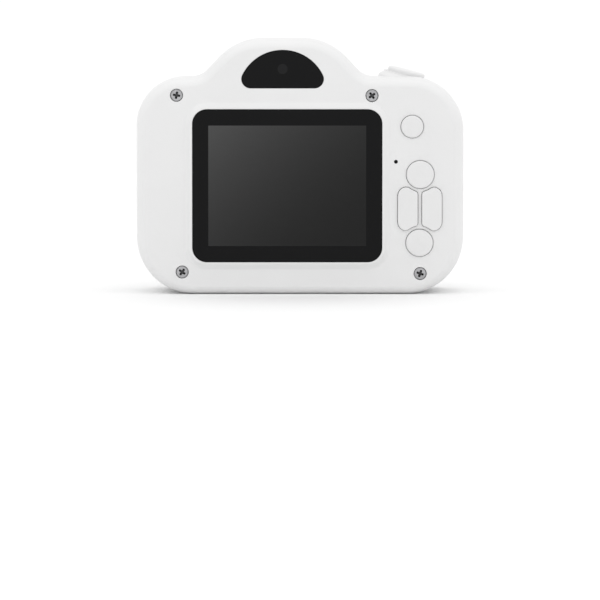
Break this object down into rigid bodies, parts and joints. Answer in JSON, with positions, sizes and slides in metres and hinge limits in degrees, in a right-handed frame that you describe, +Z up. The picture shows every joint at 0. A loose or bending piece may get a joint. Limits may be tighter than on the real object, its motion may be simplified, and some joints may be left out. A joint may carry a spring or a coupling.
{
  "type": "kids digital camera",
  "caption": "Small rounded two-shell camera with a viewfinder hump, stubby lens cone, rear screen, rear keys and a tilted shutter button.",
  "frame": {"origin": "on the flat base, under the middle of the body's width and thickness", "axes": "+X to the right seen from the lens side, -Y out of the lens, +Z up"},
  "size_m": [0.085, 0.0408, 0.066],
  "materials": {
    "white_shell": "satin moulded ABS",
    "white_ring": "satin moulded ABS",
    "white_key": "satin moulded ABS",
    "white_tray": "matt moulded",
    "black_plastic": "matt moulded",
    "clear_window": "polished acrylic",
    "lens_glass": "coated",
    "screen_black": "polished acrylic",
    "lcd_glass": "polished",
    "circuit_board": "solder mask",
    "chip_black": "matt moulded",
    "flex_film": "film",
    "wire_red": "smooth",
    "foil": "foil pouch",
    "foam": "foam",
    "card_black": "matt moulded",
    "steel": "plated"
  },
  "bodies": {
    "camera": {"front_shell": "white_shell", "rear_shell": "white_shell", "lens_face_ring": "white_ring", "lens_bezel": "white_ring", "lens_barrel": "black_plastic", "lens_window": "clear_window", "camera_holder": "black_plastic", "camera_lens": "lens_glass", "camera_board": "circuit_board", "image_sensor": "chip_black", "camera_flex": "flex_film", "screen_cover": "screen_black", "lcd_panel": "lcd_glass", "lcd_frame": "white_tray", "lcd_flex": "flex_film", "selfie_window": "screen_black", "selfie_camera": "black_plastic", "selfie_lens": "lens_glass", "selfie_flex": "flex_film", "main_board": "circuit_board", "board_chips": "chip_black", "key_switches": "steel", "shutter_board": "circuit_board", "shutter_switch": "steel", "microphone": "steel", "speaker": "black_plastic", "speaker_cone": "chip_black", "speaker_wires": "wire_red", "battery": "foil", "battery_pad": "foam", "battery_wires": "wire_red", "usb_port": "steel", "card_socket": "steel", "case_screws": "steel", "board_screws": "steel"},
    "shutter_button": {"shutter_button": "white_key"},
    "menu_key": {"menu_key": "white_key"},
    "up_key": {"up_key": "white_key"},
    "down_key": {"down_key": "white_key"},
    "left_key": {"left_key": "white_key"},
    "right_key": {"right_key": "white_key"},
    "memory_card": {"memory_card": "card_black"}
  },
  "joints": [
    {"name": "shutter_press", "type": "slide", "parent": "camera", "child": "shutter_button", "axis": [0.247, 0, -0.969], "range_m": [0, 0.0006], "stiffness_N_per_m": 500, "springref_m": -0.0006},
    {"name": "menu_press", "type": "slide", "parent": "camera", "child": "menu_key", "axis": [0, -1, 0], "range_m": [0, 0.0004], "stiffness_N_per_m": 600, "springref_m": -0.0004},
    {"name": "up_press", "type": "slide", "parent": "camera", "child": "up_key", "axis": [0, -1, 0], "range_m": [0, 0.0004], "stiffness_N_per_m": 600, "springref_m": -0.0004},
    {"name": "down_press", "type": "slide", "parent": "camera", "child": "down_key", "axis": [0, -1, 0], "range_m": [0, 0.0004], "stiffness_N_per_m": 600, "springref_m": -0.0004},
    {"name": "left_press", "type": "slide", "parent": "camera", "child": "left_key", "axis": [0, -1, 0], "range_m": [0, 0.0004], "stiffness_N_per_m": 600, "springref_m": -0.0004},
    {"name": "right_press", "type": "slide", "parent": "camera", "child": "right_key", "axis": [0, -1, 0], "range_m": [0, 0.0004], "stiffness_N_per_m": 600, "springref_m": -0.0004},
    {"name": "card_slide", "type": "slide", "parent": "camera", "child": "memory_card", "axis": [1, 0, 0], "range_m": [0, 0.0135]}
  ]
}
